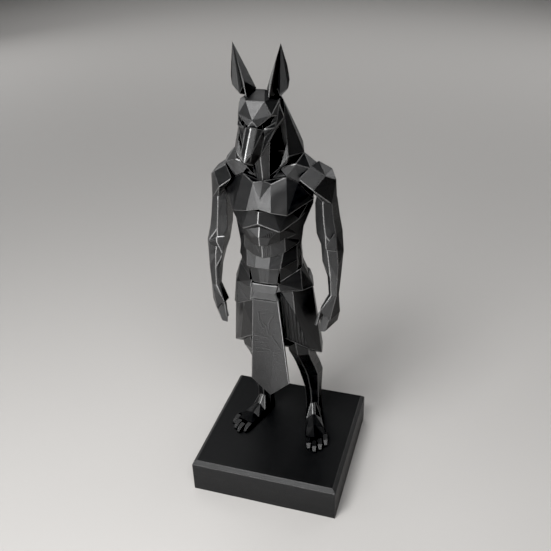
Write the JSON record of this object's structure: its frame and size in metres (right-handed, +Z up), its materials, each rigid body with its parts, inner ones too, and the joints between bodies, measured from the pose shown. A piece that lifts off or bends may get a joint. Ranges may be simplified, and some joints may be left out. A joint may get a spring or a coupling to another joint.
{
  "type": "anubis standing statuette",
  "caption": "Standing jackal-headed guardian in flat facets, with tall ears, hood, kilt and hanging apron, on a square bevelled plinth.",
  "frame": {"origin": "middle of the plinth's underside", "axes": "+Z up; the figure faces -Y; +X is on its left hand, the viewer's right"},
  "size_m": [0.084, 0.0848, 0.251],
  "materials": {
    "figure": "black printed plastic, satin, with fine level layer lines",
    "plinth": "black printed plastic, matt, with fine level layer lines"
  },
  "bodies": {
    "root": {"figure": "figure", "plinth": "plinth"}
  },
  "joints": []
}
